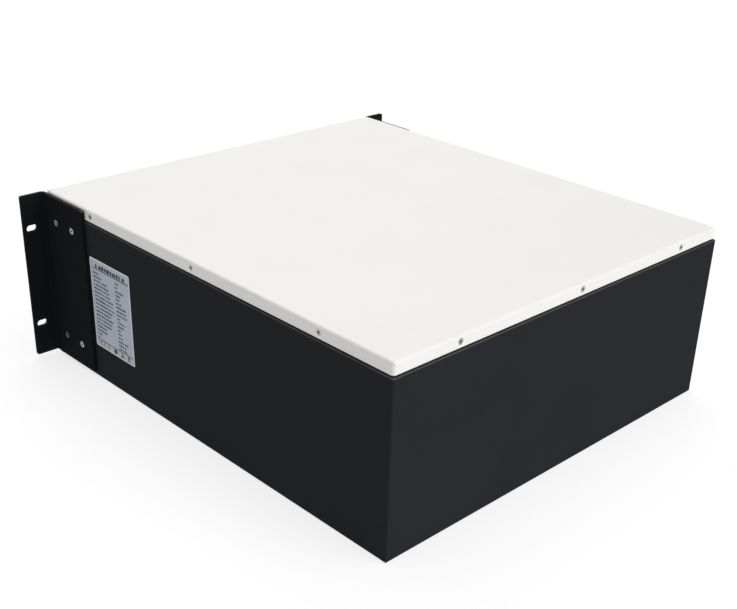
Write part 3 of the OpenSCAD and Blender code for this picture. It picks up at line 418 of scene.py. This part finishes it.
def print_rating_label():
    """A pale border of painted highlight round the edge, heading, rule, two columns of small print, rule, and
    a row of plain marks.
    """
    low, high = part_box("rating_label")
    middle = (low + high) / 2
    p = Print("label_print", (high.x, middle.y, middle.z), (0, 1, 0), (0, 0, 1))
    source = random.Random(4)
    left = (low.y - high.y) / MM / 2
    top = (high.z - low.z) / MM / 2
    edge, corner = 0.9, 1
    across, down = -2 * (left + corner), 2 * (top - corner)
    # the painted highlight border, on all four sides
    for y in (top - edge, -top):
        p.bar(left + corner, y, across, edge, label_edge_highlight)
    for x in (left, -left - edge):
        p.bar(x, corner - top, edge, down, label_edge_highlight)

    names_x, values_x = left + 4.5, left + 41
    heading_w, heading_h, small_h = 52, 4.1, 2.0
    p.dashes(left + 8.6, top - 8.6, heading_w, heading_h, black_ink, source)
    p.bar(names_x, top - 10.3, -2 * left - 6.5, 1.1, black_ink)
    rows, pitch, first = 18, 4.02, top - 15.5
    shortest, longest = 4, 33
    for row in range(rows):
        y = first - row * pitch
        reach = longest * math.sin(math.pi * (row + 3) / (rows + 3)) + source.uniform(-4, 3)
        p.dashes(names_x, y, max(reach, shortest), small_h, black_ink, source)
        p.dashes(values_x, y, source.uniform(5, 17), small_h, black_ink, source)
    p.bar(left + 4, top - 85.7, -2 * left - 6, 0.9, black_ink)

    y = top - 88.7
    p.ring(left + 10, y, 2.6, 0.8, black_ink, 60, 240)
    p.bar(left + 13.4, y - 2.4, 0.9, 4.8, black_ink)
    p.ring(left + 22, y, 2.5, 1.0, pink_ink)
    p.bar(left + 20, y - 0.5, 4, 1, pink_ink)
    p.disc(left + 34, y, 2.6, black_ink)
    p.polygon([(left + 42.4, y - 2.6), (left + 48.8, y - 2.6), (left + 45.6, y + 2.8)], green_ink)
    p.bar(left + 54.4, y - 2.6, 4.2, 1, black_ink)
    p.bar(left + 55.3, y - 0.8, 2.4, 3.4, black_ink)
    p.done("case", "label_film")


def on_panel(name):
    """A print on the front panel's face, with its middle at x = 0, z = 0."""
    return Print(name, (0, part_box("front_panel")[0].y, 0), (1, 0, 0), (0, 0, 1))


def middle_mm(node):
    low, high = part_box(node)
    return (low + high) / 2 / MM


def print_front_panel():
    """Rings round the controls, dashes of small print, and the signs for plus, minus and earth."""
    p = on_panel("panel_print")
    source = random.Random(9)
    for node in ("negative_terminal_base", "positive_terminal_base"):
        plus = node.startswith("positive")
        ink = red_ink if plus else white_ink
        x, z = middle_mm(node).x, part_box(node)[0].z / MM - 6.5
        p.bar(x - 3, z - 0.5, 6, 1, ink)
        if plus:
            p.bar(x - 0.5, z - 3, 1, 2.5, ink)
            p.bar(x - 0.5, z + 0.5, 1, 2.5, ink)
    earth = middle_mm("earth_stud")
    for i, w in enumerate((7, 4.6, 2.2)):
        p.bar(earth.x - w / 2, earth.z + 14 - i * 1.6, w, 0.6, white_ink)
    p.bar(earth.x - 0.3, earth.z + 14.6, 0.6, 3, white_ink)
    p.ring(earth.x, earth.z, 9.2, 0.5, white_ink)
    button = middle_mm("power_button_body")
    p.ring(button.x, button.z, 13.6, 0.5, white_ink, -60, 300)
    p.dashes(button.x - 8, button.z - 20, 16, 2, white_ink, source)
    reset = middle_mm("reset_button")
    p.ring(reset.x, reset.z, 4.2, 0.4, white_ink)
    p.dashes(reset.x - 5, reset.z + 7, 10, 1.8, white_ink, source)
    dip = middle_mm("dip_switch_body")
    p.dashes(dip.x - 5, dip.z - 9.5, 10, 1.8, white_ink, source)
    for n in range(1, 5):
        jack = middle_mm(f"network_jack_{n}")
        p.dashes(jack.x - 5.5, jack.z - 12.4, 11, 1.9, white_ink, source)
    relay = middle_mm("relay_terminal_block")
    p.dashes(relay.x - 8, relay.z - 10.4, 16, 1.9, white_ink, source)
    low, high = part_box("light_pipes")
    first_x, last_x = low.x / MM, high.x / MM
    length = last_x - first_x
    z = (low.z + high.z) / 2 / MM
    p.bar(first_x - 1, z + 5, length * 0.6, 0.5, white_ink)
    p.dashes(first_x, z + 7.5, length * 0.4, 1.9, white_ink, source)
    for x in (last_x - 21, last_x - 6):
        p.dashes(x, z + 7.5, 8, 1.9, white_ink, source)
    p.done("case", "case_black")


def print_breaker():
    """On and off marks and a small block of print on the breaker's nose."""
    c, front = middle_mm("breaker_body"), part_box("breaker_body")[0].y
    p = Print("breaker_print", (c.x * MM, front, c.z * MM), (1, 0, 0), (0, 0, 1))
    source = random.Random(2)
    p.bar(-0.4, 13.2, 0.8, 4, black_ink)
    p.ring(0, -15.3, 2.2, 0.7, black_ink)
    for side in (-12.5, 5):
        p.dashes(side, 17.2, 8, 1.4, black_ink, source)
        p.dashes(side, 14.6, 6, 1.2, black_ink, source)
    p.done("case", "breaker_plastic")


def print_covers():
    """Plus and minus signs on the terminal covers."""
    for node, plus in (("negative_terminal_cover", False), ("positive_terminal_cover", True)):
        low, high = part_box(node)
        p = Print(node + "_sign", ((low.x + high.x) / 2, low.y, low.z + 17 * MM), (1, 0, 0), (0, 0, 1))
        p.bar(-5, -0.9, 10, 1.8, white_ink)
        if plus:
            p.bar(-0.9, -5, 1.8, 4.1, white_ink)
            p.bar(-0.9, 0.9, 1.8, 4.1, white_ink)
        p.done(node, "white_plastic")


def print_button():
    """The standby sign on the push button."""
    c, front = middle_mm("power_button_cap"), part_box("power_button_cap")[0].y
    p = Print("button_sign", (c.x * MM, front, c.z * MM), (1, 0, 0), (0, 0, 1))
    p.ring(0, -0.2, 3, 0.6, black_ink, 120, 300)
    p.bar(-0.3, 0.6, 0.6, 3, black_ink)
    p.done("power_button_cap", "stainless")


print_rating_label()
print_front_panel()
print_breaker()
print_covers()
print_button()


# ---------------------------------------------------------------- floor and light

def make_floor():
    mesh = bpy.data.meshes.new("floor")
    size = 30
    corners = [(-size, -size, 0), (size, -size, 0), (size, size, 0), (-size, size, 0)]
    mesh.from_pydata(corners, [], [(0, 1, 2, 3)])
    floor = bpy.data.objects.new("floor", mesh)
    floor.location.z = -0.0002
    s = Shader("floor_paper", Specular_IOR_Level=0.1, Emission_Color=(1, 1, 1, 1), Emission_Strength=0.74)
    s.colour(s.mix(s.remap(s.noise(400, 2), 0, 1), rgb(144, 144, 144), rgb(141, 141, 141)))
    s.roughness(s.remap(s.noise(60, 2), 0.8, 0.9))
    mesh.materials.append(s.material)
    bpy.context.collection.objects.link(floor)


def soft_light(name, towards, strength, spread):
    """A far, wide lamp: towards points from the object to it, and spread is how many degrees it fills."""
    data = bpy.data.lights.new(name, "SUN")
    data.energy = strength
    data.angle = math.radians(spread)
    lamp = bpy.data.objects.new(name, data)
    lamp.rotation_euler = (-Vector(towards)).to_track_quat("-Z", "Y").to_euler()
    bpy.context.collection.objects.link(lamp)


def make_world(glow):
    """A studio that lights the object by this much and looks white where the camera sees it."""
    world = bpy.data.worlds.new("studio")
    world.use_nodes = True
    tree = world.node_tree
    background = tree.nodes["Background"]
    background.inputs["Color"].default_value = (1, 1, 1, 1)
    seen = tree.nodes.new("ShaderNodeLightPath").outputs["Is Camera Ray"]
    strength = tree.nodes.new("ShaderNodeMapRange")
    strength.inputs["To Min"].default_value = glow
    tree.links.new(seen, strength.inputs["Value"])
    tree.links.new(strength.outputs["Result"], background.inputs["Strength"])
    bpy.context.scene.world = world


make_floor()
make_world(glow=0.1)
soft_light("overhead_lamp", towards=(0.0, 0.1, 1.0), strength=2.2, spread=75)
soft_light("rear_lamp", towards=(-0.38, 0.91, 0.16), strength=1.95, spread=50)
soft_light("front_lamp", towards=(-0.45, -0.72, 0.53), strength=0.9, spread=60)
bpy.context.scene.view_settings.view_transform = "Standard"
